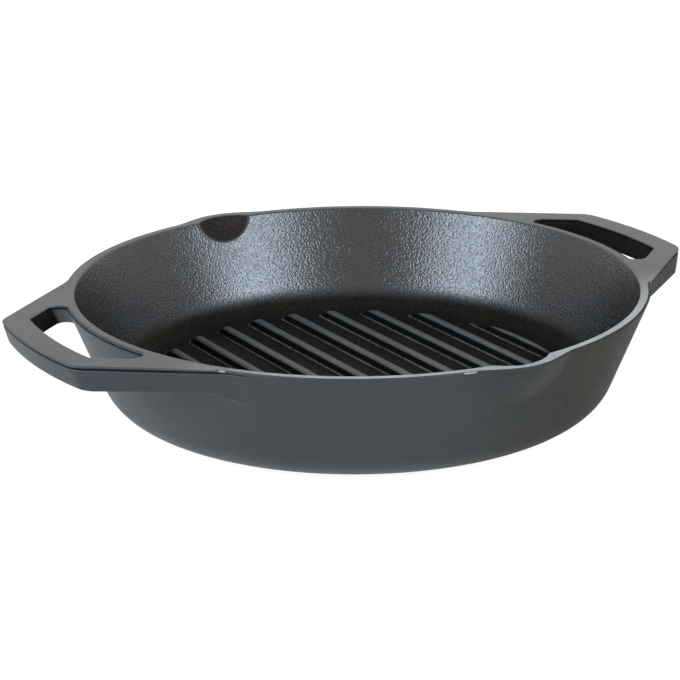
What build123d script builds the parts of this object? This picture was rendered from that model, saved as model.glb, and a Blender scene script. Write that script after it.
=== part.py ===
from build123d import *
import math
import os

# A round cast iron grill pan with two flat loop handles, in millimetres. The origin is the centre
# of the base's underside, +X runs along the handles, +Y towards the rear pour spout, +Z up.

# Bowl
rim_radius = 134.0
rim_height = 53.2
rim_width = 4.7
rim_lip_height = 0.8
rim_lip_slope = 0.3
wall_flare = 21.4
outer_heel_radius = 19.0
inner_heel_radius = 13.0
floor_thickness = 5.0
floor_margin = 2.0

# Ribs on the floor, running from spout to spout
rib_pitch = 18.9
rib_height = 4.4
rib_top_width = 4.4
rib_foot_width = 5.8
rib_edge_radius = 1.0
rib_end_gap = 0.5
rib_end_slope = 2.6

# Pour spouts, each a round pocket pressed out through the wall at the rim
pocket_radius = 20.8
pocket_inset = 18.7
pocket_rise = 7.5
spout_wall = 4.35

# Loop handles, level with the rim
handle_projection = 30.2
handle_thickness = 11.2
grip_arc_radius = 194.0
grip_half_width = 33.6
root_half_width = 74.3
grip_corner_radius = 8.0
grip_draft = 3.6
side_draft = -0.6
handle_root_radius = 25.0
gusset_radius = 9.0
gusset_width = 6.0

# Finger slots through the handles
grip_bar_width = 12.5
side_bar_width = 11.7
slot_draft = 1.6
slot_outer_corner_radius = 2.0
slot_inner_corner_radius = 4.0

# How far a cutting outline runs into the wall, so that no skin is left between the two
bite = 0.3
beyond = 30.0

flare = math.radians(wall_flare)


def wall_radius(level, top_radius):
    """Radius of a flared wall face at a height, from its radius at the rim."""
    return top_radius - (rim_height - level) * math.tan(flare)


def heel(top_radius, base_level, radius):
    """Start, middle and end of the round corner between a level face and a flared wall face."""
    rise = rim_height - base_level - radius
    middle_radius = top_radius - (rise * math.sin(flare) + radius) / math.cos(flare)
    centre = Vector(middle_radius, base_level + radius)
    start = Vector(middle_radius, base_level)
    half_turn = (math.pi / 2 - flare) / 2
    middle = centre + Vector(math.sin(half_turn), -math.cos(half_turn)) * radius
    end = centre + Vector(math.cos(flare), -math.sin(flare)) * radius
    return start, middle, end


def upright(points_and_arcs):
    """Face in the XZ plane from edges drawn as radius and height."""
    return Plane.XZ * make_face(points_and_arcs)


def turned(face):
    """Solid of revolution about the pan's axis."""
    return revolve(face, axis=Axis.Z, revolution_arc=360)


outer_start, outer_middle, outer_end = heel(rim_radius, 0, outer_heel_radius)
inner_top = rim_radius - rim_width
inner_start, inner_middle, inner_end = heel(inner_top, floor_thickness, inner_heel_radius)
floor_radius = min(outer_start.X, inner_start.X) - floor_margin
lip_level = rim_height - rim_lip_height
lip_foot_level = lip_level - rim_lip_slope
outer_lip_foot = (wall_radius(lip_foot_level, rim_radius), lip_foot_level)
outer_lip = (rim_radius, lip_level)
outer_rim = (rim_radius, rim_height)
inner_rim = (inner_top, rim_height)
handle_reach = rim_radius + handle_projection
underside = rim_height - handle_thickness
rib_foot_reach = inner_start.X - rib_end_gap
rib_top_reach = rib_foot_reach - rib_end_slope
rib_pairs = int((rib_foot_reach - rib_foot_width / 2) / rib_pitch)


def side_wall():
    """The flared wall with its round heel and the small upright lip round the rim."""
    section = [
        Line((floor_radius, 0), outer_start),
        ThreePointArc(outer_start, outer_middle, outer_end),
        Polyline(outer_end, outer_lip_foot, outer_lip, outer_rim, inner_rim, inner_end),
        ThreePointArc(inner_end, inner_middle, inner_start),
        Polyline(inner_start, (floor_radius, floor_thickness), (floor_radius, 0)),
    ]
    return turned(upright(section))


def pan_envelope():
    """Everything inside the pan's outer face, used to cut what is joined to it."""
    section = [
        Line((0, 0), outer_start),
        ThreePointArc(outer_start, outer_middle, outer_end),
        Polyline(outer_end, outer_lip_foot, outer_lip, outer_rim, (rim_radius, rim_height + beyond)),
        Polyline((rim_radius, rim_height + beyond), (0, rim_height + beyond), (0, 0)),
    ]
    return turned(upright(section))


def cavity():
    """The room inside the bowl, open upwards."""
    above = rim_height + beyond
    section = [
        Line((0, floor_thickness), inner_start),
        ThreePointArc(inner_start, inner_middle, inner_end),
        Polyline(inner_end, inner_rim, (inner_top, above), (0, above), (0, floor_thickness)),
    ]
    return turned(upright(section))


def pan_floor():
    """The flat middle of the base."""
    return extrude(Circle(floor_radius), floor_thickness)


def spout_ball(side, radius):
    """Ball that shapes a pour spout, at the rear for side 1 and at the front for side -1."""
    return Pos(0, side * (rim_radius - pocket_inset), rim_height + pocket_rise) * Sphere(radius)


def pour_spout(side):
    """A round lip that bulges out of the wall, with its pocket open to the bowl."""
    shell = spout_ball(side, pocket_radius + spout_wall) - spout_ball(side, pocket_radius)
    span = 2 * (rim_radius + beyond)
    below_rim = Pos(0, 0, rim_height - span / 2) * Box(span, span, span)
    return (shell & below_rim) - cavity()


def grill_rib(place):
    """One rib, cut to the round of the floor with sloping ends."""
    length = 2 * rib_foot_reach
    section = Polyline(
        (place - rib_foot_width / 2, floor_thickness),
        (place + rib_foot_width / 2, floor_thickness),
        (place + rib_top_width / 2, floor_thickness + rib_height),
        (place - rib_top_width / 2, floor_thickness + rib_height),
        close=True,
    )
    face = upright(section)
    top_corners = face.vertices().group_by(Axis.Z)[-1]
    face = fillet(top_corners, rib_edge_radius)
    bar = extrude(face, length / 2, both=True)
    round_end = Pos(0, 0, floor_thickness + rib_height / 2) * Cone(rib_foot_reach, rib_top_reach, rib_height)
    return bar & round_end


def nearest_corner(face, x, y):
    """The corner of a level face that lies nearest a point in plan."""
    return face.vertices().sort_by_distance((x, y, face.center().Z))[0]


def side_line(depth):
    """Slope and offset of the handle's side in plan, at depth 0 for its top and 1 for its underside."""
    root_radius = wall_radius(rim_height - depth * handle_thickness, rim_radius)
    root_x = math.sqrt(root_radius ** 2 - root_half_width ** 2)
    slope = (root_half_width - grip_half_width + side_draft * depth) / (handle_reach - root_x)
    return slope, root_half_width + slope * root_x


def moved_in(side, inset):
    """A side line moved towards the middle of the handle."""
    slope, offset = side
    return slope, offset - inset * math.hypot(1, slope)


def half_width(side, x):
    """Half-width that a side line leaves at x."""
    slope, offset = side
    return offset - slope * x


def crossing(side, radius, centre_x=0):
    """Where a side line meets a circle centred on the X axis."""
    slope, offset = side
    offset = offset - slope * centre_x
    half_b = slope * offset
    square = 1 + slope ** 2
    along = (half_b + math.sqrt(half_b ** 2 - square * (offset ** 2 - radius ** 2))) / square
    return centre_x + along, offset - slope * along


def tapered_plan(side, arc_radius, inner_x):
    """Face between an outer arc, two slanting sides and a straight inner edge."""
    arc_centre = handle_reach - grip_arc_radius
    corner_x, corner_y = crossing(side, arc_radius, arc_centre)
    inner_y = half_width(side, inner_x)
    edges = [
        ThreePointArc((corner_x, -corner_y), (arc_centre + arc_radius, 0), (corner_x, corner_y)),
        Polyline((corner_x, corner_y), (inner_x, inner_y), (inner_x, -inner_y), (corner_x, -corner_y)),
    ]
    return make_face(edges)


def with_rounded_corners(face, corner, radius):
    """The face with one corner and its mirror image across the X axis rounded."""
    x, y = corner
    pair = [face.vertices().sort_by_distance((x, side * y, 0))[0] for side in (1, -1)]
    return fillet(pair, radius).face()


def handle_plan(depth):
    """Outline of the handle at a depth, with its grip corners and its roots at the wall rounded."""
    side = side_line(depth)
    arc_radius = grip_arc_radius - grip_draft * depth
    level = rim_height - depth * handle_thickness
    root_radius = wall_radius(level, rim_radius) - bite
    root = crossing(side, root_radius)
    inner_x = root[0] - handle_root_radius
    plan = tapered_plan(side, arc_radius, inner_x) + Circle(root_radius)
    keep = Pos(inner_x + rim_radius, 0) * Rectangle(2 * rim_radius, 4 * rim_radius)
    face = with_rounded_corners((plan & keep).face(), root, handle_root_radius)
    grip_corner = crossing(side, arc_radius, handle_reach - grip_arc_radius)
    face = with_rounded_corners(face, grip_corner, grip_corner_radius)
    return Pos(0, 0, level) * face


def slot_side(depth):
    """Side line of the finger slot at a depth."""
    return moved_in(side_line(0), side_bar_width - slot_draft * depth)


def slot_arc_radius(depth):
    """Radius of the finger slot's outer edge at a depth."""
    return grip_arc_radius - grip_bar_width + slot_draft * depth


def slot_plan(depth):
    """Outline of the finger slot at a depth, with the wall's outer face as its inner edge."""
    side = slot_side(depth)
    arc_radius = slot_arc_radius(depth)
    level = rim_height - depth * handle_thickness
    root_radius = wall_radius(level, rim_radius) - bite
    root = crossing(side, root_radius)
    plan = tapered_plan(side, arc_radius, root[0] - slot_inner_corner_radius) - Circle(root_radius)
    face = with_rounded_corners(plan.faces().sort_by(Axis.X)[-1], root, slot_inner_corner_radius)
    outer_corner = crossing(side, arc_radius, handle_reach - grip_arc_radius)
    face = with_rounded_corners(face, outer_corner, slot_outer_corner_radius)
    return Pos(0, 0, level) * face


def gusset_ring(level):
    """Ring with a hollow round that runs from the handle's underside into the wall."""
    top_radius = wall_radius(level, rim_radius)
    reach = gusset_radius * (1 - math.sin(flare)) / math.cos(flare)
    centre = Vector(top_radius + reach, level - gusset_radius)
    start = Vector(centre.X, level)
    half_turn = (math.pi / 2 - flare) / 2
    middle = centre + Vector(-math.sin(half_turn), math.cos(half_turn)) * gusset_radius
    end = centre + Vector(-math.cos(flare), math.sin(flare)) * gusset_radius
    inside = end.X - gusset_radius
    section = [
        ThreePointArc(start, middle, end),
        Polyline(end, (inside, end.Y), (inside, level + bite), (start.X, level + bite), start),
    ]
    return turned(upright(section))


def handle_roots():
    """The rounds under the outer edges of the handle's two side bars, where they run into the wall."""
    inner_x = crossing(side_line(1), wall_radius(underside, rim_radius))[0] - gusset_radius
    outside = tapered_plan(side_line(1), grip_arc_radius - grip_draft, inner_x)
    passage = tapered_plan(moved_in(side_line(1), gusset_width), slot_arc_radius(1), inner_x)
    bars = extrude(Pos(0, 0, underside - gusset_radius) * (outside - passage), gusset_radius + bite)
    return gusset_ring(underside) & bars


def right_handle():
    """A flat loop handle with its finger slot and the rounds under its two roots."""
    plate = loft([handle_plan(1), handle_plan(0)], ruled=True)
    slot = loft([slot_plan(1), slot_plan(0)], ruled=True)
    return plate + handle_roots() - slot - pan_envelope()


def write(name, shape):
    """Write one piece of the pan to its own file."""
    export_step(shape, "parts/" + name + ".step")


os.makedirs("parts", exist_ok=True)
front_ball = spout_ball(-1, pocket_radius + spout_wall)
rear_ball = spout_ball(1, pocket_radius + spout_wall)
handle = right_handle()

write("pan_floor", pan_floor())
write("side_wall", side_wall() - front_ball - rear_ball)
write("right_handle", handle)
write("left_handle", mirror(handle, about=Plane.YZ))
write("front_pour_spout", pour_spout(-1))
write("rear_pour_spout", pour_spout(1))
for number in range(-rib_pairs, rib_pairs + 1):
    write(f"grill_rib_{number + rib_pairs + 1:02d}", grill_rib(number * rib_pitch))
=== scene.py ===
import logging
import math
from collections.abc import Callable
from dataclasses import dataclass, field
from enum import Enum

import bmesh
import bpy
import numpy as np
from mathutils import Matrix, Vector


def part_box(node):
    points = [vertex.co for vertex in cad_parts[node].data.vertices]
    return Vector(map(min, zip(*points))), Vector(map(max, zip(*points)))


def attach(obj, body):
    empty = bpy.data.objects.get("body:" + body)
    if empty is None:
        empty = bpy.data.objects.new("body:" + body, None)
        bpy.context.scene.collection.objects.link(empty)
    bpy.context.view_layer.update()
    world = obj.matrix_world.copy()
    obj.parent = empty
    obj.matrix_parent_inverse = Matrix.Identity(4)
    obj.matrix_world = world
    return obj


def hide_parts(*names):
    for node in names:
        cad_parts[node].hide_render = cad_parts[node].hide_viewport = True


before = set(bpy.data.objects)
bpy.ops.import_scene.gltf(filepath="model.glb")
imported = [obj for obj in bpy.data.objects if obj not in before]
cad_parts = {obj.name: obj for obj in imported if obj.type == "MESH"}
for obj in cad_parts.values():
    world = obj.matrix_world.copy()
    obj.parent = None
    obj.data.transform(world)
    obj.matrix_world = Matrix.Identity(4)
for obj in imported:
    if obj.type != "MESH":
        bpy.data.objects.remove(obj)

# The looks of a cast iron grill pan. Shapes are worked out in millimetres, as signed distances that are
# negative inside the metal, and made into meshes in metres. +X runs along the handles, +Z up.

logger = logging.getLogger("grill_pan")

# Millimetres in a metre
METRE = 1000.0
# How near a value may be to 0 before a cut would leave slivers of triangles
ON_LINE = 1e-4
# The least length that a direction is divided by
TINY = 1e-9
# In how many slices the space is sampled, to spare memory
SLICES = 12


def linear_colour(hex_colour: str) -> tuple[float, float, float, float]:
    """Turn an sRGB hex colour into Blender's linear RGBA.

    Args:
        hex_colour: six hex digits after a hash sign.

    Returns:
        Linear red, green and blue, with an alpha of 1.
    """
    channels = [int(hex_colour[i:i + 2], 16) / 255 for i in (1, 3, 5)]
    linear = [c / 12.92 if c <= 0.04045 else ((c + 0.055) / 1.055) ** 2.4 for c in channels]
    return (*linear, 1.0)


def box_mm(node: str) -> tuple[np.ndarray, np.ndarray]:
    """The lowest and the highest corner of a CAD node, in millimetres."""
    low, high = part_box(node)
    return np.array(low) * METRE, np.array(high) * METRE


def rounded_cut(a: np.ndarray, b: np.ndarray, radius: float) -> np.ndarray:
    """What two solids share, with a round edge where their faces meet.

    Args:
        a: distances to the first solid.
        b: distances to the second solid.
        radius: edge radius in millimetres.

    Returns:
        Distances to the shared solid.
    """
    edge = np.hypot(np.maximum(a + radius, 0), np.maximum(b + radius, 0))
    return np.minimum(np.maximum(a, b), -radius) + edge


def rounded_join(a: np.ndarray, b: np.ndarray, radius: float) -> np.ndarray:
    """Two solids as one, with a hollow round where their faces meet.

    Args:
        a: distances to the first solid.
        b: distances to the second solid.
        radius: radius of the hollow round in millimetres.

    Returns:
        Distances to the joined solid.
    """
    return -rounded_cut(-a, -b, radius)


def angled_cut(a: np.ndarray, b: np.ndarray, cosine: float, radius: float) -> np.ndarray:
    """What two solids share, with an exactly round edge where their faces meet at an angle.

    Args:
        a: distances to the first face.
        b: distances to the second face.
        cosine: cosine of the angle between the two faces' normals.
        radius: edge radius in millimetres.

    Returns:
        Distances to the shared solid.
    """
    u, v = a + radius, b + radius
    corner = np.sqrt(np.maximum(u * u + v * v - 2 * cosine * u * v, 0) / (1 - cosine ** 2))
    at_corner = (u > v * cosine) & (v > u * cosine)
    return np.where(at_corner, corner, np.maximum(u, v)) - radius


def smooth_step(share: np.ndarray) -> np.ndarray:
    """Ease a share from 0 to 1, flat at both ends."""
    share = np.clip(share, 0, 1)
    return share * share * (3 - 2 * share)


@dataclass
class Bowl:
    """The round bowl: a flared wall on a round heel, the mould's parting groove, and knocks in the rim.

    The groove is deepest at the handles, fades out between them and waxes and wanes a few times on its way
    round. The knocks are given by where they lie round the rim, in degrees from +X, and by their lengths.
    """

    rim_width: float = 4.7
    flare: float = math.radians(21.4)
    outer_heel: float = 19.0
    inner_heel: float = 13.0
    rim_edge: float = 0.7
    groove_drop: float = 1.5
    groove_half_width: float = 0.5
    groove_depth: float = 0.8
    groove_gain: float = 1.7
    groove_loss: float = 0.75
    ripple: float = 0.2
    ripples: int = 7
    ripple_start: float = 0.9
    chip_turns: tuple[float, ...] = (-146.0, -101.5, -91.0, -84.5)
    chip_lengths: tuple[float, ...] = (3.0, 6.5, 8.0, 2.5)
    chip_depth: float = 0.5
    rim_radius: float = field(init=False)
    rim_height: float = field(init=False)
    floor_level: float = field(init=False)

    def __post_init__(self) -> None:
        """Take the overall sizes from the frame."""
        _, high = box_mm("side_wall")
        self.rim_radius, self.rim_height = high[0], high[2]
        self.floor_level = box_mm("pan_floor")[1][2]

    def slanted(self, r: np.ndarray, z: np.ndarray, top_radius: float) -> np.ndarray:
        """Distance to a flared face with the given radius at the rim."""
        return (r - top_radius) * math.cos(self.flare) - (z - self.rim_height) * math.sin(self.flare)

    def outside(self, r: np.ndarray, z: np.ndarray) -> np.ndarray:
        """Distance to the pan's outer form, filled and open at the top."""
        return angled_cut(self.slanted(r, z, self.rim_radius), -z, math.sin(self.flare), self.outer_heel)

    def groove(self, x: np.ndarray, y: np.ndarray, z: np.ndarray) -> np.ndarray:
        """Work out the parting groove, deep in places and ground away in others.

        Args:
            x: places along the handles.
            y: places along the ribs.
            z: heights.

        Returns:
            How far the groove sinks in at each place.
        """
        turn = np.arctan2(y, x)
        waxing = self.ripple * np.sin(self.ripples * turn + self.ripple_start)
        kept = np.clip(self.groove_gain * np.cos(turn) ** 2 - self.groove_loss + waxing, 0, 1)
        across = (z - self.rim_height + self.groove_drop) / self.groove_half_width
        return self.groove_depth * kept * np.exp(-across * across)

    def chips(self, x: np.ndarray, y: np.ndarray, z: np.ndarray) -> np.ndarray:
        """Work out the knocks on the rim's outer edge.

        Args:
            x: places along the handles.
            y: places along the ribs.
            z: heights.

        Returns:
            How far the knocks sink in at each place.
        """
        edge = np.hypot(np.hypot(x, y) - self.rim_radius, z - self.rim_height) / (2 * self.chip_depth)
        deep = 0
        for turn, length in zip(np.radians(self.chip_turns), self.chip_lengths):
            along = (y * math.cos(turn) - x * math.sin(turn)) / (length / 2)
            facing = x * math.cos(turn) + y * math.sin(turn) > 0
            deep = deep + facing * np.exp(-along ** 4 - edge * edge)
        return self.chip_depth * deep

    def cavity(self, r: np.ndarray, z: np.ndarray) -> np.ndarray:
        """Distance to the room inside the bowl, open at the top."""
        wall = self.slanted(r, z, self.rim_radius - self.rim_width)
        return angled_cut(wall, self.floor_level - z, math.sin(self.flare), self.inner_heel)


@dataclass
class PourSpouts:
    """Two round lips pressed out through the wall, each with its pocket open to the bowl.

    A pocket is part of a ball whose middle lies above the rim.
    """

    bowl: Bowl
    pocket_radius: float = 20.8
    wall: float = 4.35
    rise: float = 7.5
    lip_blend: float = 6.0
    arch_edge: float = 0.6
    centre: float = field(init=False)

    def __post_init__(self) -> None:
        """Place the pockets so that their lips reach as far as the CAD solids do."""
        lip = math.sqrt((self.pocket_radius + self.wall) ** 2 - self.rise ** 2)
        self.centre = box_mm("rear_pour_spout")[1][1] - lip

    def from_centre(self, x: np.ndarray, y: np.ndarray, z: np.ndarray) -> np.ndarray:
        """How far places are from the middle of the nearer pocket's ball."""
        up = z - self.bowl.rim_height - self.rise
        return np.sqrt(x * x + (np.abs(y) - self.centre) ** 2 + up * up)

    def join(self, outside: np.ndarray, away: np.ndarray) -> np.ndarray:
        """Add the lips to the pan's outer form."""
        return rounded_join(outside, away - self.pocket_radius - self.wall, self.lip_blend)

    def line(self, inside: np.ndarray, away: np.ndarray) -> np.ndarray:
        """Cut the pockets out of the metal round the cavity."""
        return rounded_cut(inside, self.pocket_radius - away, self.arch_edge)


@dataclass
class LoopHandles:
    """Two flat loop handles, level with the rim, with finger slots and rounds under their roots.

    In plan a handle has an outer arc and two sides that slant in to it from the wall. The drafts are how
    much smaller the underside is than the top, and the gussets are the hollow rounds under the roots.
    """

    bowl: Bowl
    arc_radius: float = 194.0
    grip_half_width: float = 33.6
    root_half_width: float = 74.3
    grip_corner: float = 11.0
    grip_draft: float = 3.6
    side_draft: float = -0.6
    gusset: float = 9.0
    grip_bar: float = 12.5
    side_bar: float = 11.7
    slot_draft: float = 1.6
    slot_outer_corner: float = 2.0
    slot_inner_corner: float = 4.0
    lower_edge: float = 1.0
    thickness: float = 11.2
    slot_gusset: float = 1.5
    gusset_width: float = 7.0
    root_round: float = 25.0
    clear_of_wall: float = 4.0
    inner_limit: float = 72.0
    root_depth: float = 2.0
    reach: float = field(init=False)
    slot_corner_cosine: float = field(init=False)
    grip_corner_cosine: float = field(init=False)
    root_cosine: float = field(init=False)

    def __post_init__(self) -> None:
        """Take the reach from the frame, and work out the angles at the handle's corners."""
        self.reach = box_mm("right_handle")[1][0]
        self.slot_corner_cosine = -self.cosine_at_wall(self.side_bar)
        self.root_cosine = self.cosine_at_wall(0.0)
        slope, _ = self.side_line(0.0)
        turn = math.asin(self.grip_half_width / self.arc_radius)
        self.grip_corner_cosine = (slope * math.cos(turn) + math.sin(turn)) / math.hypot(1, slope)

    def cosine_at_wall(self, inset: float) -> float:
        """Cosine of the angle between the wall's normal and that of a side line, where the two meet.

        Args:
            inset: how far the side line is moved towards the middle of the handle.

        Returns:
            The cosine.
        """
        slope, offset = self.side_line(0.0)
        offset -= inset * math.hypot(1, slope)
        square, half_b = 1 + slope ** 2, slope * offset
        x = (half_b + math.sqrt(half_b ** 2 - square * (offset ** 2 - self.bowl.rim_radius ** 2))) / square
        side = np.array((slope, 1.0)) / math.hypot(1, slope)
        wall = np.array((x, offset - slope * x)) / self.bowl.rim_radius
        return float(side @ wall)

    def side_line(self, depth: np.ndarray) -> tuple[np.ndarray, np.ndarray]:
        """Slope and offset of the handle's side in plan.

        Args:
            depth: 0 at the handle's top and 1 at its underside.

        Returns:
            How much the half-width falls for each millimetre outwards, and the half-width at the centre.
        """
        drop = depth * self.thickness * math.tan(self.bowl.flare)
        root_x = np.sqrt((self.bowl.rim_radius - drop) ** 2 - self.root_half_width ** 2)
        fall = self.root_half_width - self.grip_half_width + self.side_draft * depth
        slope = fall / (self.reach - root_x)
        return slope, self.root_half_width + slope * root_x

    def plan(self, x: np.ndarray, y: np.ndarray, depth: np.ndarray, inset: np.ndarray, bar: np.ndarray,
             corner: float) -> np.ndarray:
        """Distance in plan to an outline with an outer arc and two slanting sides.

        Args:
            x: distance outwards from the pan's centre.
            y: distance from the handle's middle line.
            depth: 0 at the handle's top and 1 at its underside.
            inset: how far the sides are moved in.
            bar: how far the arc is moved in.
            corner: radius of the two outer corners.

        Returns:
            Distances to the outline, negative inside it.
        """
        slope, offset = self.side_line(depth)
        side = (np.abs(y) + slope * x - offset) / np.hypot(1, slope) + inset
        arc = np.hypot(x - self.reach + self.arc_radius, y) - self.arc_radius + bar
        return angled_cut(side, arc, self.grip_corner_cosine, corner)

    def slot(self, x: np.ndarray, y: np.ndarray, z: np.ndarray) -> np.ndarray:
        """Distance to the finger slots, with drafted sides.

        Args:
            x: places along the handles.
            y: places along the ribs.
            z: heights.

        Returns:
            Distances, negative in the open slot.
        """
        depth = np.clip((self.bowl.rim_height - z) / self.thickness, 0, 1)
        taper = self.slot_draft * depth
        top_depth = np.zeros_like(depth)
        return self.plan(np.abs(x), y, top_depth, self.side_bar - taper, self.grip_bar - taper,
                         self.slot_outer_corner)

    def join(self, x: np.ndarray, y: np.ndarray, z: np.ndarray, r: np.ndarray,
             outside: np.ndarray) -> np.ndarray:
        """Add both handles to the pan's outer form, open at the top.

        Args:
            x: places along the handles.
            y: places along the ribs.
            z: heights.
            r: distances from the pan's middle line.
            outside: distances to the pan's outer form.

        Returns:
            Distances to the outer form with its handles.
        """
        x = np.abs(x)
        depth = np.clip((self.bowl.rim_height - z) / self.thickness, 0, 1)
        wall = self.bowl.slanted(r, z, self.bowl.rim_radius)
        underside = self.bowl.rim_height - self.thickness - z
        outline = self.plan(x, y, depth, 0, self.grip_draft * depth, self.grip_corner)
        # The round is large under the handle's sides and fades towards the slot
        at_side = smooth_step(1 + outline / self.gusset_width)
        gusset = self.slot_gusset + (self.gusset - self.slot_gusset) * at_side
        slab = -angled_cut(-underside, -wall, math.sin(self.bowl.flare), gusset)
        outline = -angled_cut(-outline, -wall, self.root_cosine, self.root_round)
        # The lower edges are round only where they are clear of the wall
        edge = self.lower_edge * np.clip(wall / self.clear_of_wall, 0, 1)
        slot = angled_cut(self.slot(x, y, z), -wall, self.slot_corner_cosine, self.slot_inner_corner)
        loop = rounded_cut(slab, outline, edge)
        loop = rounded_cut(loop, -slot, edge)
        # Inside the bowl and below the rounds the handle ends, so that it can't come out elsewhere
        lowest = underside - self.gusset - self.root_depth
        loop = np.maximum(loop, np.maximum(self.inner_limit - x, lowest))
        return np.minimum(outside, loop)


@dataclass
class GrillRibs:
    """The parallel ribs on the floor, from spout to spout, with sloping ends and worn round tops."""

    bowl: Bowl
    top_half_width: float = 2.2
    foot_half_width: float = 2.9
    end_slope: float = 5.5
    top_edge: float = 1.7
    foot_round: float = 0.8
    places: list[float] = field(init=False)
    pitch: float = field(init=False)
    height: float = field(init=False)
    reach: float = field(init=False)
    zone_top: float = field(init=False)

    def __post_init__(self) -> None:
        """Take the ribs' places, height and reach from the frame, and a level well above them."""
        boxes = {name: box_mm(name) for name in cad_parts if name.startswith("grill_rib")}
        self.places = sorted((low[0] + high[0]) / 2 for low, high in boxes.values())
        self.pitch = (self.places[-1] - self.places[0]) / (len(self.places) - 1)
        self.height = max(high[2] for _, high in boxes.values()) - self.bowl.floor_level
        longest = max(high[1] for _, high in boxes.values())
        self.reach = math.hypot(longest, self.foot_half_width)
        self.zone_top = 4 * self.bowl.floor_level

    def distance(self, x: np.ndarray, z: np.ndarray, r: np.ndarray) -> np.ndarray:
        """Distance to the nearest rib.

        Args:
            x: places across the ribs.
            z: heights.
            r: distances from the pan's middle line.

        Returns:
            Distances, negative in a rib, which ends inside the floor.
        """
        outermost = len(self.places) // 2
        number = np.clip(np.round(x / self.pitch), -outermost, outermost)
        share = (z - self.bowl.floor_level) / self.height
        across = np.abs(x - number * self.pitch)
        draft = self.foot_half_width - self.top_half_width
        side = (across - self.foot_half_width + draft * share) / math.hypot(1, draft / self.height)
        end = (r - self.reach + self.end_slope * share) / math.hypot(1, self.end_slope / self.height)
        top = z - self.bowl.floor_level - self.height
        rib = rounded_cut(rounded_cut(side, end, self.top_edge), top, self.top_edge)
        return np.maximum(rib, self.bowl.floor_level / 2 - z)


def surface_net(distance: Callable[..., np.ndarray], axes: list[np.ndarray]) -> tuple[np.ndarray, np.ndarray]:
    """Wrap a net of four-sided faces round a solid that is given as signed distances.

    Args:
        distance: a function of x, y and z arrays that broadcast, negative inside the solid.
        axes: the sampled places along each axis, in rising order.

    Returns:
        The net's points, and its faces as four point numbers each.
    """
    value = np.concatenate([
        distance(slab[:, None, None], axes[1][None, :, None], axes[2][None, None, :]).astype(np.float32)
        for slab in np.array_split(axes[0], SLICES)
    ])
    solid = value < 0
    # A cell with some corners inside and some outside gets one point of the net
    corners = [(i, j, k) for i in (0, 1) for j in (0, 1) for k in (0, 1)]
    cells = tuple(n - 1 for n in solid.shape)
    count = np.zeros(cells, np.uint8)
    for i, j, k in corners:
        count += solid[i:i + cells[0], j:j + cells[1], k:k + cells[2]]
    mixed = (count > 0) & (count < 8)
    cell = np.argwhere(mixed)
    number = np.full(cells, -1, np.int32)
    number[mixed] = np.arange(len(cell))
    # That point is the mean of the places where the cell's edges cross the surface
    total, hits = np.zeros((len(cell), 3), np.float32), np.zeros(len(cell), np.float32)
    for start in corners:
        for axis in range(3):
            if start[axis]:
                continue
            end = tuple(1 if n == axis else start[n] for n in range(3))
            a = value[tuple((cell + start).T)]
            b = value[tuple((cell + end).T)]
            crosses = (a < 0) != (b < 0)
            share = np.where(crosses, a / np.where(crosses, a - b, 1), 0)
            point = np.array(start, np.float32) + share[:, None] * np.eye(3, dtype=np.float32)[axis]
            total += point * crosses[:, None]
            hits += crosses
    inside = total / hits[:, None]
    points = np.stack([
        place[cell[:, n]] + inside[:, n] * np.diff(place)[cell[:, n]] for n, place in enumerate(axes)
    ], 1)
    # Each grid edge that crosses the surface gets a face between the four cells round it
    faces = []
    for axis in range(3):
        u, v = (axis + 1) % 3, (axis + 2) % 3
        here = [slice(1, n) for n in cells]
        here[axis] = slice(0, cells[axis])
        there = list(here)
        there[axis] = slice(1, cells[axis] + 1)
        a, b = solid[tuple(here)], solid[tuple(there)]
        for found, order in ((a & ~b, (0, 1, 2, 3)), (~a & b, (3, 2, 1, 0))):
            at = np.argwhere(found)
            at[:, u] += 1
            at[:, v] += 1
            around = []
            for du, dv in ((-1, -1), (0, -1), (0, 0), (-1, 0)):
                near = at.copy()
                near[:, u] += du
                near[:, v] += dv
                around.append(number[tuple(near.T)])
            faces.append(np.stack([around[n] for n in order], 1))
    return points.astype(np.float64), np.concatenate(faces)


def mesh_from(name: str, points: np.ndarray, faces: np.ndarray) -> bpy.types.Mesh:
    """Make a mesh in metres.

    Args:
        name: the mesh's name.
        points: the points in millimetres.
        faces: the point numbers of each face, as many for every face.

    Returns:
        The mesh.
    """
    mesh = bpy.data.meshes.new(name)
    mesh.vertices.add(len(points))
    mesh.vertices.foreach_set("co", (points / METRE).astype(np.float32).ravel())
    mesh.loops.add(faces.size)
    mesh.loops.foreach_set("vertex_index", faces.astype(np.int32).ravel())
    mesh.polygons.add(len(faces))
    mesh.polygons.foreach_set("loop_start", np.arange(0, faces.size, faces.shape[1], dtype=np.int32))
    mesh.update(calc_edges=True)
    return mesh


def points_of(mesh: bpy.types.Mesh) -> np.ndarray:
    """Read a mesh's points.

    Args:
        mesh: a mesh in metres.

    Returns:
        Its points in millimetres.
    """
    flat = np.zeros(len(mesh.vertices) * 3, np.float32)
    mesh.vertices.foreach_get("co", flat)
    return flat.reshape(-1, 3).astype(np.float64) * METRE


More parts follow.
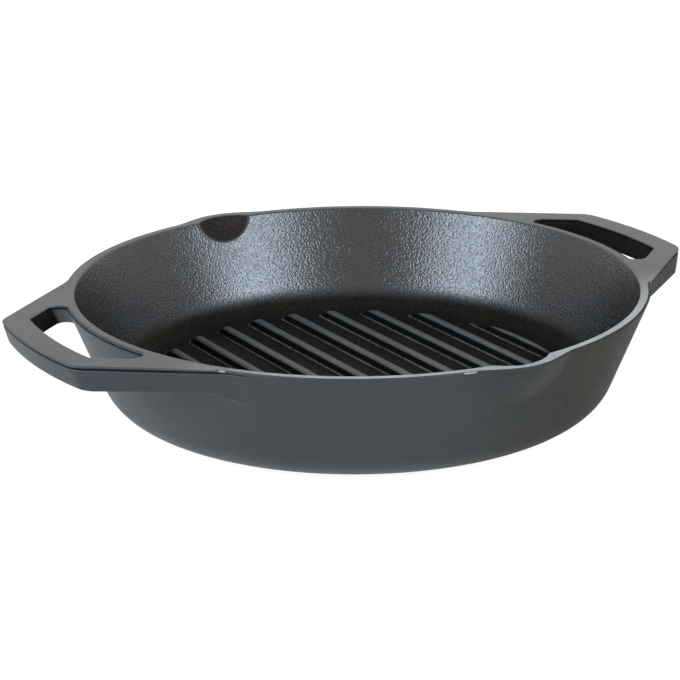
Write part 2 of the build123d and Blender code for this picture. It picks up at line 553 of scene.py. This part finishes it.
def node_with(tree: bpy.types.NodeTree, kind: str, settings: dict | None = None,
              **inputs) -> bpy.types.Node:
    """Add a node, with its settings and what goes into its sockets.

    Args:
        tree: the node tree that gets the node.
        kind: the node's type name.
        settings: properties to set on the node itself.
        **inputs: values or output sockets by socket name, with underscores for spaces, or by s and a number.

    Returns:
        The new node.
    """
    made = tree.nodes.new(kind)
    for name, value in (settings or {}).items():
        setattr(made, name, value)
    for name, value in inputs.items():
        key = int(name[1:]) if name[0] == "s" and name[1:].isdigit() else name.replace("_", " ")
        socket = made.inputs[key]
        if isinstance(value, bpy.types.NodeSocket):
            tree.links.new(value, socket)
        else:
            socket.default_value = value
    return made


class Skin(Enum):
    """The finishes of the pan's surface, in the order of each mesh's material slots."""

    OUTSIDE = 0
    INSIDE = 1
    TOP = 2
    POCKET = 3
    SLOT = 4
    RIB = 5
    CHIP = 6


class Across(Enum):
    """The direction in which a finish changes from one layer to the next."""

    WIDTH = "X"
    DEPTH = "Y"
    HEIGHT = "Z"


@dataclass(frozen=True)
class OilLayer:
    """How one zone of the baked-on oil looks: colour and roughness in pits and on peaks, and its gloss."""

    pits: str
    peaks: str
    roughness: tuple[float, float]
    specular: float = 0.5


@dataclass(frozen=True)
class SeasonedIron:
    """Sand-cast iron under baked-on oil: near black, with a low gloss over the grain of the mould.

    The oil hides the metal, so the surface reflects as an oil film does, without metallic colour. The first
    layer covers everything, and each change lays another over it between two places, in millimetres, along
    the finish's direction. The specks stand for sand grains of 0.3 to 0.5 mm, drawn coarser so that they
    show. The tone runs from pits to peaks over a range of the specks and clouds together.
    """

    name: str
    layer: OilLayer
    changes: tuple[tuple[float, float, OilLayer], ...] = ()
    across: Across = Across.HEIGHT
    speck_mm: float = 0.85
    relief_mm: float = 0.05
    clouding_mm: float = 24.0
    cloud_share: float = 0.6
    tone_range: tuple[float, float] = (0.6, 1.0)

    def build(self) -> bpy.types.Material:
        """Make the material.

        Returns:
            A material whose patterns are fixed in the shared frame, so that pieces match where they meet.
        """
        material = bpy.data.materials.new(self.name)
        material.use_nodes = True
        tree = material.node_tree
        tree.nodes.clear()
        place = node_with(tree, "ShaderNodeTexCoord").outputs["Object"]
        clouds = node_with(tree, "ShaderNodeTexNoise", Vector=place, Scale=METRE / self.clouding_mm,
                           Detail=3.0, Roughness=0.6).outputs["Fac"]
        specks = node_with(tree, "ShaderNodeTexNoise", Vector=place, Scale=METRE / self.speck_mm,
                           Detail=1.0, Roughness=0.5).outputs["Fac"]
        mixed = node_with(tree, "ShaderNodeMath", {"operation": "MULTIPLY_ADD"}, s0=clouds,
                          s1=self.cloud_share, s2=specks).outputs["Value"]
        tone = node_with(tree, "ShaderNodeMapRange", Value=mixed, From_Min=self.tone_range[0],
                         From_Max=self.tone_range[1]).outputs["Result"]
        colour, rough, specular = self.layers(tree, place, tone)
        relief = node_with(tree, "ShaderNodeBump", Strength=1.0, Distance=self.relief_mm / METRE,
                           Height=specks).outputs["Normal"]
        shader = node_with(tree, "ShaderNodeBsdfPrincipled", Base_Color=colour, Roughness=rough,
                           Normal=relief, Specular_IOR_Level=specular)
        node_with(tree, "ShaderNodeOutputMaterial", Surface=shader.outputs["BSDF"])
        return material

    def layers(self, tree: bpy.types.NodeTree, place: bpy.types.NodeSocket,
               tone: bpy.types.NodeSocket) -> tuple[bpy.types.NodeSocket, bpy.types.NodeSocket, object]:
        """Lay the zones of oil over each other.

        Args:
            tree: the material's node tree.
            place: where the shaded point is.
            tone: 0 in the pits and 1 on the peaks.

        Returns:
            Sockets with the colour and the roughness, and the specular level, which is a plain number if it
            never changes.
        """
        where = node_with(tree, "ShaderNodeSeparateXYZ", Vector=place).outputs[self.across.value]
        colour, rough = self.look(tree, self.layer, tone)
        specular = self.layer.specular
        for start, end, layer in self.changes:
            next_colour, next_rough = self.look(tree, layer, tone)
            share = node_with(tree, "ShaderNodeMapRange", {"interpolation_type": "SMOOTHSTEP"}, Value=where,
                              From_Min=start / METRE, From_Max=end / METRE).outputs["Result"]
            colour = node_with(tree, "ShaderNodeMix", {"data_type": "RGBA"}, Factor=share, s6=colour,
                               s7=next_colour).outputs[2]
            rough = node_with(tree, "ShaderNodeMix", Factor=share, s2=rough, s3=next_rough).outputs[0]
            specular = node_with(tree, "ShaderNodeMix", Factor=share, s2=specular,
                                 s3=layer.specular).outputs[0]
        return colour, rough, specular

    @staticmethod
    def look(tree: bpy.types.NodeTree, layer: OilLayer,
             tone: bpy.types.NodeSocket) -> tuple[bpy.types.NodeSocket, bpy.types.NodeSocket]:
        """Lay out the colour and roughness of one layer.

        Args:
            tree: the material's node tree.
            layer: the layer.
            tone: 0 in the pits and 1 on the peaks.

        Returns:
            Sockets with the layer's colour and roughness.
        """
        colour = node_with(tree, "ShaderNodeMix", {"data_type": "RGBA"}, Factor=tone,
                           s6=linear_colour(layer.pits), s7=linear_colour(layer.peaks)).outputs[2]
        rough = node_with(tree, "ShaderNodeMapRange", Value=tone, To_Min=layer.roughness[0],
                          To_Max=layer.roughness[1]).outputs["Result"]
        return colour, rough


# Fine sand against the outer faces: an even, slightly blue satin that spreads reflections into soft grey
SATIN = OilLayer("#212628", "#282d2f", (0.54, 0.46), 0.5)
# Coarser sand inside, under more oil: pebbles that sparkle where a lamp catches them. The real grain is
# about half a millimetre, drawn at twice that so that it shows
PEBBLED = OilLayer("#020202", "#0b0c0d", (0.34, 0.14), 0.8)
# The floor between the ribs: soot with paler patches where food has burnt on
STAINED = OilLayer("#020202", "#171615", (0.85, 0.6), 0.1)
# Painted shade in the finger slots and in the deep part of the parting groove: brown-black, almost without
# gloss
SLOT_AND_GROOVE_SHADE = OilLayer("#080706", "#15120f", (0.85, 0.7), 0.12)
# The foot of the wall, where oil runs down and bakes brown
BAKED = OilLayer("#0a0905", "#1d180f", (0.85, 0.65), 0.12)
# The rim and the handle tops, rubbed by hands and lids: a dull grey sheen
RUBBED = OilLayer("#2b2c2c", "#353636", (0.42, 0.36), 0.66)
# Painted highlight on the near side of the rim, towards -Y: a pale grey that stands in for the light the rim
# reflects there
NEAR_RIM_HIGHLIGHT = OilLayer("#868683", "#adada9", (0.36, 0.3), 0.8)
# Painted shade on the flanks of the ribs: near black and almost without gloss
RIB_FLANK_SHADE = OilLayer("#020202", "#050505", (0.8, 0.7), 0.08)
# The tops of the ribs, greyer than the floor: partly rubbed by turners, partly a painted highlight where they
# catch the light
SCRAPED_AND_HIGHLIT = OilLayer("#343433", "#525250", (0.5, 0.36), 0.5)
# Painted highlight along the foot of a rib, where its round meets the floor: a pale speckled line
RIB_FOOT_HIGHLIGHT = OilLayer("#0c0c0b", "#65635e", (0.7, 0.5), 0.3)
# Fresh knocks, where the oil is gone and the iron glints
BARE = OilLayer("#74736f", "#a8a7a2", (0.45, 0.35), 0.8)
# Burnt-on oil in the spout, browner and rougher than on the wall
BROWNED = OilLayer("#0c0907", "#2a2119", (0.8, 0.55), 0.2)
# Painted shade on the right of the wall, towards +X: a darker, browner and duller satin
RIGHT_SIDE_SHADE = OilLayer("#1e1c12", "#252318", (0.76, 0.66), 0.26)

SKINS = {
    # Outer faces, with painted shade towards +X
    Skin.OUTSIDE: SeasonedIron(
        "fine_sand_cast_iron_satin_oil_shaded_right", SATIN, ((-60.0, 45.0, RIGHT_SIDE_SHADE),), Across.WIDTH,
    ),
    Skin.INSIDE: SeasonedIron(
        "pebbled_cast_iron_baked_oil", STAINED, ((5.4, 7.5, BAKED), (9.0, 17.5, PEBBLED)),
        speck_mm=1.05, relief_mm=0.26,
    ),
    # Rim and handle tops, with a painted highlight on the rim's near side
    Skin.TOP: SeasonedIron(
        "ground_cast_iron_rubbed_oil_and_rim_highlight", RUBBED, ((-52.0, -108.0, NEAR_RIM_HIGHLIGHT),), Across.DEPTH,
    ),
    Skin.POCKET: SeasonedIron("pebbled_cast_iron_burnt_oil_pocket", BROWNED, relief_mm=0.14),
    # Painted shade on the slot faces and in the groove
    Skin.SLOT: SeasonedIron("fine_sand_cast_iron_painted_shade_slot", SLOT_AND_GROOVE_SHADE),
    Skin.CHIP: SeasonedIron("chipped_cast_iron_bare", BARE),
    # Ribs: a painted highlight at the foot, painted shade on the flanks, tops partly painted light
    Skin.RIB: SeasonedIron(
        "scraped_cast_iron_rib_painted_light_and_shade", RIB_FOOT_HIGHLIGHT, ((5.3, 6.0, RIB_FLANK_SHADE), (8.0, 8.9, SCRAPED_AND_HIGHLIT)), relief_mm=0.06,
    ),
}


@dataclass
class Casting:
    """The whole pan as the one iron casting that it is, ready to be cut into its named pieces.

    The top zone is the strip below the rim's level that is rubbed with it, and the fine zone the deeper one
    that is sampled in fine steps. The kept share is what thinning leaves of the sampled triangles.
    """

    bowl: Bowl
    spouts: PourSpouts
    handles: LoopHandles
    ribs: GrillRibs
    border_lift: float = 0.1
    rim_border: float = 1.2
    top_zone: float = 0.3
    fine_zone: float = 3.0
    fine_step: float = 0.2
    kept_share: float = 0.16
    pocket_lift: float = 0.35
    steps: tuple[float, float, float] = (0.75, 0.75, 0.5)
    quick_steps: tuple[float, float, float] = (1.2, 1.2, 0.9)
    settle_rounds: int = 3
    settle_reach: float = 0.02

    def pan_fields(self, x: np.ndarray, y: np.ndarray,
                   z: np.ndarray) -> tuple[np.ndarray, np.ndarray, np.ndarray]:
        """Work out the pan without its handles and ribs.

        Args:
            x: places along the handles.
            y: places along the ribs.
            z: heights.

        Returns:
            Distances from the pan's middle line, to its outer form with its lips, and to the metal round the
            plain cavity.
        """
        r = np.hypot(x, y)
        outside = self.spouts.join(self.bowl.outside(r, z), self.spouts.from_centre(x, y, z))
        return r, outside, -self.bowl.cavity(r, z)

    def distance(self, x: np.ndarray, y: np.ndarray, z: np.ndarray) -> np.ndarray:
        """Distance to the whole casting.

        Args:
            x: places along the handles.
            y: places along the ribs.
            z: heights.

        Returns:
            Distances, negative in the iron.
        """
        r, outside, inside = self.pan_fields(x, y, z)
        outside = self.handles.join(x, y, z, r, outside) + self.bowl.groove(x, y, z)
        inside = self.spouts.line(inside, self.spouts.from_centre(x, y, z))
        body = rounded_cut(np.maximum(outside, inside), z - self.bowl.rim_height, self.bowl.rim_edge)
        body = body + self.bowl.chips(x, y, z)
        return rounded_join(body, self.ribs.distance(x, z, r), self.ribs.foot_round)

    def from_edge(self, points: np.ndarray) -> np.ndarray:
        """How far points lie outside the strip of the rim that lids and spoons rub."""
        r, outside, _ = self.pan_fields(*points.T)
        return self.handles.join(*points.T, r, outside) + self.rim_border

    def lift(self, points: np.ndarray) -> np.ndarray:
        """How far points stand off the plain pan, which tells handles and ribs from the bowl."""
        _, outside, inside = self.pan_fields(*points.T)
        return np.maximum(outside, inside) - self.border_lift

    def slope(self, points: np.ndarray, reach: float) -> np.ndarray:
        """Find which way the surface faces.

        Args:
            points: points on or near the surface.
            reach: how far to each side the distance is measured.

        Returns:
            For each point, the unit direction in which the distance grows.
        """
        parts = []
        for axis in np.eye(3) * reach:
            parts.append(self.distance(*(points + axis).T) - self.distance(*(points - axis).T))
        way = np.stack(parts, 1)
        return way / np.maximum(np.linalg.norm(way, axis=1, keepdims=True), TINY)

    def settle(self, points: np.ndarray) -> np.ndarray:
        """Move points onto the casting's exact surface.

        Args:
            points: points near the surface.

        Returns:
            The points on it.
        """
        for _ in range(self.settle_rounds):
            points = points - self.distance(*points.T)[:, None] * self.slope(points, self.settle_reach)
        return points

    def skin(self) -> tuple[np.ndarray, np.ndarray]:
        """Make the casting's surface, fine at its edges and coarse on its flats.

        Returns:
            Points in millimetres, and triangles as three point numbers each.
        """
        step = np.array(self.steps)
        reach = np.array((self.handles.reach, box_mm("rear_pour_spout")[1][1])) + 2 * step[:2]
        axes = [np.arange(-a, a + s, s, dtype=np.float32) for a, s in zip(reach, step)]
        fine_from = self.bowl.rim_height - self.fine_zone
        levels = np.arange(-2 * step[2], fine_from, step[2])
        fine = np.arange(fine_from, self.bowl.rim_height + 2 * self.fine_step, self.fine_step)
        axes.append(np.concatenate([levels, fine]).astype(np.float32))
        points, faces = surface_net(self.distance, axes)
        logger.info("net of %d faces", len(faces))
        mesh = mesh_from("casting_net", self.settle(points), faces)
        net = bpy.data.objects.new("casting_net", mesh)
        bpy.context.scene.collection.objects.link(net)
        thinning = net.modifiers.new("thinning", "DECIMATE")
        thinning.ratio = self.kept_share
        bpy.context.view_layer.update()
        thin = bpy.data.meshes.new_from_object(net.evaluated_get(bpy.context.evaluated_depsgraph_get()))
        bpy.data.objects.remove(net)
        thin.calc_loop_triangles()
        corners = np.zeros(len(thin.loop_triangles) * 3, np.int32)
        thin.loop_triangles.foreach_get("vertices", corners)
        return self.settle(points_of(thin)), corners.reshape(-1, 3)


def cut_along(points: np.ndarray, faces: np.ndarray,
              value: np.ndarray) -> tuple[np.ndarray, np.ndarray, np.ndarray]:
    """Cut triangles along the line where a value is zero.

    Args:
        points: the points.
        faces: three point numbers for each triangle.
        value: the value at each point.

    Returns:
        The points with those on the line added, the triangles, none of which crosses the line, and for each
        triangle whether it lies where the value is above zero.
    """
    value = np.where(np.abs(value) < ON_LINE, ON_LINE, value)
    high = value[faces] > 0
    crossed = high.any(1) & ~high.all(1)
    whole, split = faces[~crossed], faces[crossed]
    # A crossed triangle has one corner alone on its side, a, and two on the other, b and c
    lone = np.where(high[crossed].sum(1) == 1, high[crossed].argmax(1), (~high[crossed]).argmax(1))
    rows = np.arange(len(split))
    a, b, c = (split[rows, (lone + n) % 3] for n in range(3))
    pairs = np.sort(np.concatenate([np.stack([a, b], 1), np.stack([a, c], 1)]), 1)
    edges, place = np.unique(pairs, axis=0, return_inverse=True)
    place = place.ravel()
    start, end = value[edges[:, 0]], value[edges[:, 1]]
    share = (start / (start - end))[:, None]
    added = points[edges[:, 0]] * (1 - share) + points[edges[:, 1]] * share
    ab, ac = np.split(place + len(points), 2)
    parts = [whole, np.stack([a, ab, ac], 1), np.stack([ab, b, c], 1), np.stack([ab, c, ac], 1)]
    alone = high[crossed][rows, lone]
    above = np.concatenate([high[~crossed][:, 0], alone, ~alone, ~alone])
    return np.concatenate([points, added]), np.concatenate(parts), above


class PanPieces:
    """The casting's pieces as Blender objects.

    Lengths are in millimetres: how deep in the iron the caps of the ribs and of the handles' roots reach, how
    near the inside and a rib's surface a face has to be to count as theirs, and how far from the inside the
    groove has to be. The shares say from which part of its full depth the groove gets painted shade and a
    knock looks bare.
    """

    rib_cap_depth = 1.0
    root_cap_depth = 3.0
    normal_reach = 0.12
    inside_zone = 0.5
    rib_zone = 0.5
    groove_zone = 1.0
    dark_groove_share = 0.4
    bare_chip_share = 0.35

    def __init__(self, casting: Casting, skins: dict[Skin, bpy.types.Material]) -> None:
        """Make the casting's surface and cut it where its finishes change and its pieces meet.

        Args:
            casting: the pan's shape.
            skins: the material of each finish.
        """
        self.casting = casting
        self.skins = skins
        bowl = casting.bowl
        points, faces = casting.skin()
        points, faces, _ = cut_along(points, faces, points[:, 2] - bowl.rim_height + casting.top_zone)
        for side in (-1, 1):
            groove_edge = bowl.rim_height - bowl.groove_drop + side * bowl.groove_half_width
            points, faces, _ = cut_along(points, faces, points[:, 2] - groove_edge)
        points, faces, _ = cut_along(points, faces, casting.from_edge(points))
        points, faces, _ = cut_along(points, faces, self.beyond_wall(points) - casting.pocket_lift)
        self.points, self.faces, self.apart = cut_along(points, faces, casting.lift(points))
        self.normals = casting.slope(self.points, self.normal_reach)
        self.middles = self.points[self.faces].mean(1)
        logger.info("skin of %d triangles", len(self.faces))

    def beyond_wall(self, points: np.ndarray) -> np.ndarray:
        """How far points lie behind the inside of the plain wall, which tells the pockets from it."""
        return self.casting.bowl.cavity(np.hypot(points[:, 0], points[:, 1]), points[:, 2])

    def skin_of(self, middles: np.ndarray) -> np.ndarray:
        """Choose each face's finish from where it lies. A later choice covers an earlier one.

        Args:
            middles: the faces' middles.

        Returns:
            The number of each face's finish.
        """
        casting, bowl = self.casting, self.casting.bowl
        beyond = self.beyond_wall(middles)
        lined = casting.spouts.line(-beyond, casting.spouts.from_centre(*middles.T))
        rib = casting.ribs.distance(middles[:, 0], middles[:, 2], np.hypot(middles[:, 0], middles[:, 1]))
        slot = np.abs(casting.handles.slot(*middles.T)) < casting.pocket_lift
        groove = bowl.groove(*middles.T) > self.dark_groove_share * bowl.groove_depth
        handle, inside = self.on_handle(middles), lined > -self.inside_zone
        rubbed = (casting.from_edge(middles) < 0) | handle
        top = middles[:, 2] > bowl.rim_height - casting.top_zone
        places = (
            (Skin.INSIDE, inside),
            (Skin.POCKET, inside & (beyond > casting.pocket_lift)),
            # Rib faces carry a painted highlight at the foot and painted shade on the flanks
            (Skin.RIB, inside & (np.abs(rib) < self.rib_zone)),
            # Painted shade on the slot faces and in the deep part of the groove
            (Skin.SLOT, (slot & handle) | (groove & (lined < -self.groove_zone))),
            # Rubbed tops, which also hold the painted highlight on the rim's near side
            (Skin.TOP, rubbed & top),
            (Skin.CHIP, bowl.chips(*middles.T) > self.bare_chip_share * bowl.chip_depth),
        )
        chosen = np.full(len(middles), Skin.OUTSIDE.value)
        for skin, here in places:
            chosen[here] = skin.value
        return chosen

    def on_handle(self, middles: np.ndarray) -> np.ndarray:
        """Which faces stand off the outside of the bowl."""
        return (self.casting.lift(middles) > 0) & (np.abs(middles[:, 0]) > self.casting.ribs.reach)

    def make(self, name: str, chosen: np.ndarray, nodes: list[str]) -> bpy.types.Object:
        """Make one piece from the faces chosen for it, closed where it joins its neighbours.

        Args:
            name: the piece's name.
            chosen: a mask over the skin's faces.
            nodes: the CAD nodes that the piece stands for.

        Returns:
            The piece, riding on the pan's one body.
        """
        faces = self.faces[chosen]
        used, local = np.unique(faces, return_inverse=True)
        mesh = mesh_from(name, self.points[used], local.reshape(-1, 3))
        for skin in Skin:
            mesh.materials.append(self.skins[skin])
        mesh.polygons.foreach_set("material_index", self.skin_of(self.middles[chosen]).astype(np.int32))
        self.close(mesh)
        mesh.polygons.foreach_set("use_smooth", np.ones(len(mesh.polygons), bool))
        self.shade(mesh, self.normals[used], len(faces))
        piece = bpy.data.objects.new(name, mesh)
        bpy.context.scene.collection.objects.link(piece)
        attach(piece, "root")
        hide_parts(*nodes)
        return piece

    def close(self, mesh: bpy.types.Mesh) -> None:
        """Close the openings where a piece was cut from its neighbours, inside the iron.

        Args:
            mesh: the piece's mesh, which is changed.
        """
        work = bmesh.new()
        work.from_mesh(mesh)
        edges = [edge for edge in work.edges if edge.is_boundary]
        caps = bmesh.ops.holes_fill(work, edges=edges, sides=0)["faces"]
        for middle in bmesh.ops.poke(work, faces=caps, center_mode="MEAN")["verts"]:
            if middle.co.z < self.casting.ribs.zone_top / METRE:
                middle.co.z -= self.rib_cap_depth / METRE
            else:
                outwards = Vector((middle.co.x, middle.co.y, 0)).normalized()
                middle.co -= outwards * (self.root_cap_depth / METRE)
        work.to_mesh(mesh)
        work.free()

    @staticmethod
    def shade(mesh: bpy.types.Mesh, normals: np.ndarray, shown: int) -> None:
        """Give the shown faces the casting's exact normals, so that cuts don't show.

        Args:
            mesh: the piece's mesh, which is changed.
            normals: the normal at each of its first points.
            shown: how many of its faces are shown. The rest are caps.
        """
        corners = np.zeros(len(mesh.loops), np.int32)
        mesh.loops.foreach_get("vertex_index", corners)
        by_corner = np.zeros((len(corners), 3), np.float32)
        by_corner[:3 * shown] = normals[corners[:3 * shown]]
        mesh.normals_split_custom_set(by_corner)

    def build(self) -> list[bpy.types.Object]:
        """Make the bowl, both handles and every rib.

        Returns:
            The pieces.
        """
        ribs = self.casting.ribs
        x = self.middles[:, 0]
        handle = self.apart & (np.abs(x) > ribs.reach) & (self.middles[:, 2] > ribs.zone_top)
        rib = self.apart & ~handle
        bowl_nodes = ["pan_floor", "side_wall", "front_pour_spout", "rear_pour_spout"]
        made = [self.make("bowl", ~self.apart, bowl_nodes)]
        made.append(self.make("right_loop_handle", handle & (x > 0), ["right_handle"]))
        made.append(self.make("left_loop_handle", handle & (x < 0), ["left_handle"]))
        half = ribs.pitch / 2
        for number, place in enumerate(ribs.places, 1):
            name = f"grill_rib_{number:02d}"
            made.append(self.make(name + "_cast", rib & (np.abs(x - place) < half), [name]))
        return made


@dataclass(frozen=True)
class Softbox:
    """A square soft lamp that hangs round the pan and looks at it.

    The azimuth is in degrees round the pan, 0 at -Y and 90 at +X, and the elevation in degrees above the
    floor. The side and the distance are in metres, and the power is in watts.
    """

    name: str
    azimuth: float
    elevation: float
    side: float = 0.9
    power: float = 23.0
    distance: float = 1.6
    colour: str = "#d9ecff"


def direction(azimuth: float, elevation: float) -> Vector:
    """The unit direction from the pan to a place round it, from two angles in radians."""
    across = math.cos(elevation)
    return Vector((math.sin(azimuth) * across, -math.cos(azimuth) * across, math.sin(elevation)))


@dataclass
class Studio:
    """A white floor, a pale room, two plain soft lamps and the camera."""

    azimuth: float = math.radians(-31.133)
    elevation: float = math.radians(18.599)
    roll: float = math.radians(-0.518)
    distance: float = 1.018087
    target: tuple[float, float, float] = (-0.0066, 0.0046, 0.02486)
    lens: float = 116.25
    sensor: float = 36.0
    view_depth: tuple[float, float] = (0.05, 20.0)
    floor_half: float = 6.0
    floor_drop: float = 0.0003
    paper: str = "#f4f4f4"
    shadow_paper: str = "#909090"
    glow: float = 0.9
    room: str = "#dfe6ec"
    room_strength: float = 0.32
    lamps: tuple[Softbox, ...] = (Softbox("right_softbox", 20, 25), Softbox("left_softbox", -88, 24))

    def camera(self) -> None:
        """Place the camera where the photograph was taken from."""
        data = bpy.data.cameras.new("camera")
        data.lens, data.sensor_width = self.lens, self.sensor
        data.clip_start, data.clip_end = self.view_depth
        camera = bpy.data.objects.new("camera", data)
        bpy.context.scene.collection.objects.link(camera)
        back = direction(self.azimuth, self.elevation)
        turn = back.to_track_quat("Z", "Y").to_matrix() @ Matrix.Rotation(self.roll, 3, "Z")
        camera.matrix_world = Matrix.Translation(Vector(self.target) + back * self.distance) @ turn.to_4x4()
        bpy.context.scene.camera = camera

    @staticmethod
    def hang(softbox: Softbox) -> None:
        """Hang a lamp.

        Args:
            softbox: the lamp's place, size and light.
        """
        data = bpy.data.lights.new(softbox.name, "AREA")
        data.size, data.energy = softbox.side, softbox.power
        data.color = linear_colour(softbox.colour)[:3]
        lamp = bpy.data.objects.new(softbox.name, data)
        bpy.context.scene.collection.objects.link(lamp)
        back = direction(math.radians(softbox.azimuth), math.radians(softbox.elevation))
        turn = back.to_track_quat("Z", "Y").to_matrix()
        lamp.matrix_world = Matrix.Translation(back * softbox.distance) @ turn.to_4x4()

    @staticmethod
    def shown_as(tree: bpy.types.NodeTree, lighting: bpy.types.NodeSocket,
                 shown: bpy.types.NodeSocket) -> bpy.types.NodeSocket:
        """Give what the camera sees, straight, through glass or in the gloss, a shader of its own.

        Args:
            tree: the node tree.
            lighting: the shader that lights the pan.
            shown: the shader that is seen.

        Returns:
            The socket of the two together.
        """
        path = node_with(tree, "ShaderNodeLightPath").outputs
        seen = path["Is Camera Ray"]
        for ray in ("Is Transmission Ray", "Is Glossy Ray"):
            seen = node_with(tree, "ShaderNodeMath", {"operation": "MAXIMUM"}, s0=seen,
                             s1=path[ray]).outputs["Value"]
        return node_with(tree, "ShaderNodeMixShader", s0=seen, s1=lighting, s2=shown).outputs["Shader"]

    def floor(self) -> None:
        """Lay a wide floor, a hair below the pan, that the camera sees as plain white with the pan's shadow.

        From below it is clear, so that the pan's underside can be seen.
        """
        half, z = self.floor_half, -self.floor_drop
        corners = [(-half, -half, z), (half, -half, z), (half, half, z), (-half, half, z)]
        mesh = bpy.data.meshes.new("floor")
        mesh.from_pydata(corners, [], [(0, 1, 2, 3)])
        floor = bpy.data.objects.new("floor", mesh)
        bpy.context.scene.collection.objects.link(floor)
        material = bpy.data.materials.new("white_paper")
        material.use_nodes = True
        tree = material.node_tree
        tree.nodes.clear()
        paper = node_with(tree, "ShaderNodeBsdfDiffuse", Color=linear_colour(self.paper)).outputs["BSDF"]
        lit = node_with(tree, "ShaderNodeBsdfDiffuse", Color=linear_colour(self.shadow_paper)).outputs["BSDF"]
        glow = node_with(tree, "ShaderNodeEmission", Color=(1, 1, 1, 1), Strength=self.glow).outputs[0]
        white = node_with(tree, "ShaderNodeAddShader", s0=lit, s1=glow).outputs["Shader"]
        below = node_with(tree, "ShaderNodeNewGeometry").outputs["Backfacing"]
        clear = node_with(tree, "ShaderNodeBsdfTransparent").outputs["BSDF"]
        one_sided = node_with(tree, "ShaderNodeMixShader", s0=below, s1=self.shown_as(tree, paper, white),
                              s2=clear).outputs["Shader"]
        node_with(tree, "ShaderNodeOutputMaterial", Surface=one_sided)
        mesh.materials.append(material)

    def world(self) -> None:
        """Light everything with a pale room, which the camera sees as white."""
        world = bpy.data.worlds.new("studio")
        bpy.context.scene.world = world
        world.use_nodes = True
        tree = world.node_tree
        tree.nodes.clear()
        room = node_with(tree, "ShaderNodeBackground", Color=linear_colour(self.room),
                         Strength=self.room_strength).outputs[0]
        white = node_with(tree, "ShaderNodeBackground", Color=(1, 1, 1, 1), Strength=1.0).outputs[0]
        node_with(tree, "ShaderNodeOutputWorld", Surface=self.shown_as(tree, room, white))

    def build(self) -> None:
        """Set up everything round the pan."""
        self.camera()
        self.floor()
        self.world()
        for softbox in self.lamps:
            self.hang(softbox)
        bpy.context.scene.view_settings.view_transform = "Standard"


def main() -> None:
    """Build the pan and the studio."""
    logging.basicConfig(level=logging.INFO, format="%(name)s: %(message)s")
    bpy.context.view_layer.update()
    Studio().build()
    bowl = Bowl()
    casting = Casting(bowl, PourSpouts(bowl), LoopHandles(bowl), GrillRibs(bowl))
    pieces = PanPieces(casting, {skin: iron.build() for skin, iron in SKINS.items()}).build()
    for piece in pieces:
        logger.info("%s: %d faces", piece.name, len(piece.data.polygons))


if __name__ == "__main__":
    main()
